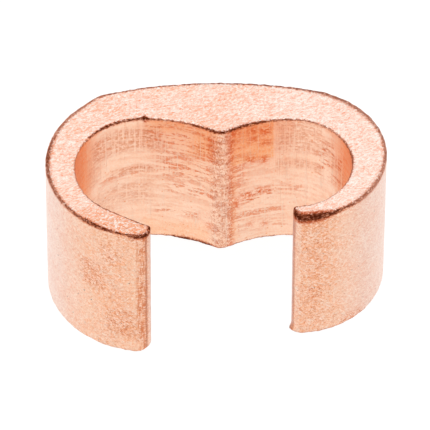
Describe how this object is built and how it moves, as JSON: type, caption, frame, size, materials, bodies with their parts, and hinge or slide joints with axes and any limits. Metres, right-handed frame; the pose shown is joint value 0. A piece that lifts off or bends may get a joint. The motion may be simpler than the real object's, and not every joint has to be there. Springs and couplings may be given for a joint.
{
  "type": "c-tap connector",
  "caption": "Short C-shaped slice of copper with a larger run groove and a smaller tap groove, parted by a low ridge, and an open mouth between its lips.",
  "frame": {"origin": "middle of the slice's width and depth, on the lower cut end that it stands on", "axes": "+X from the run groove to the tap groove, -Y out of the mouth, +Z along the wires"},
  "size_m": [0.0202, 0.013, 0.01],
  "materials": {
    "copper": "bare soft copper, satin, with drawing streaks in the grooves and dark sheared edges"
  },
  "bodies": {
    "root": {"c_tap": "copper"}
  },
  "joints": []
}
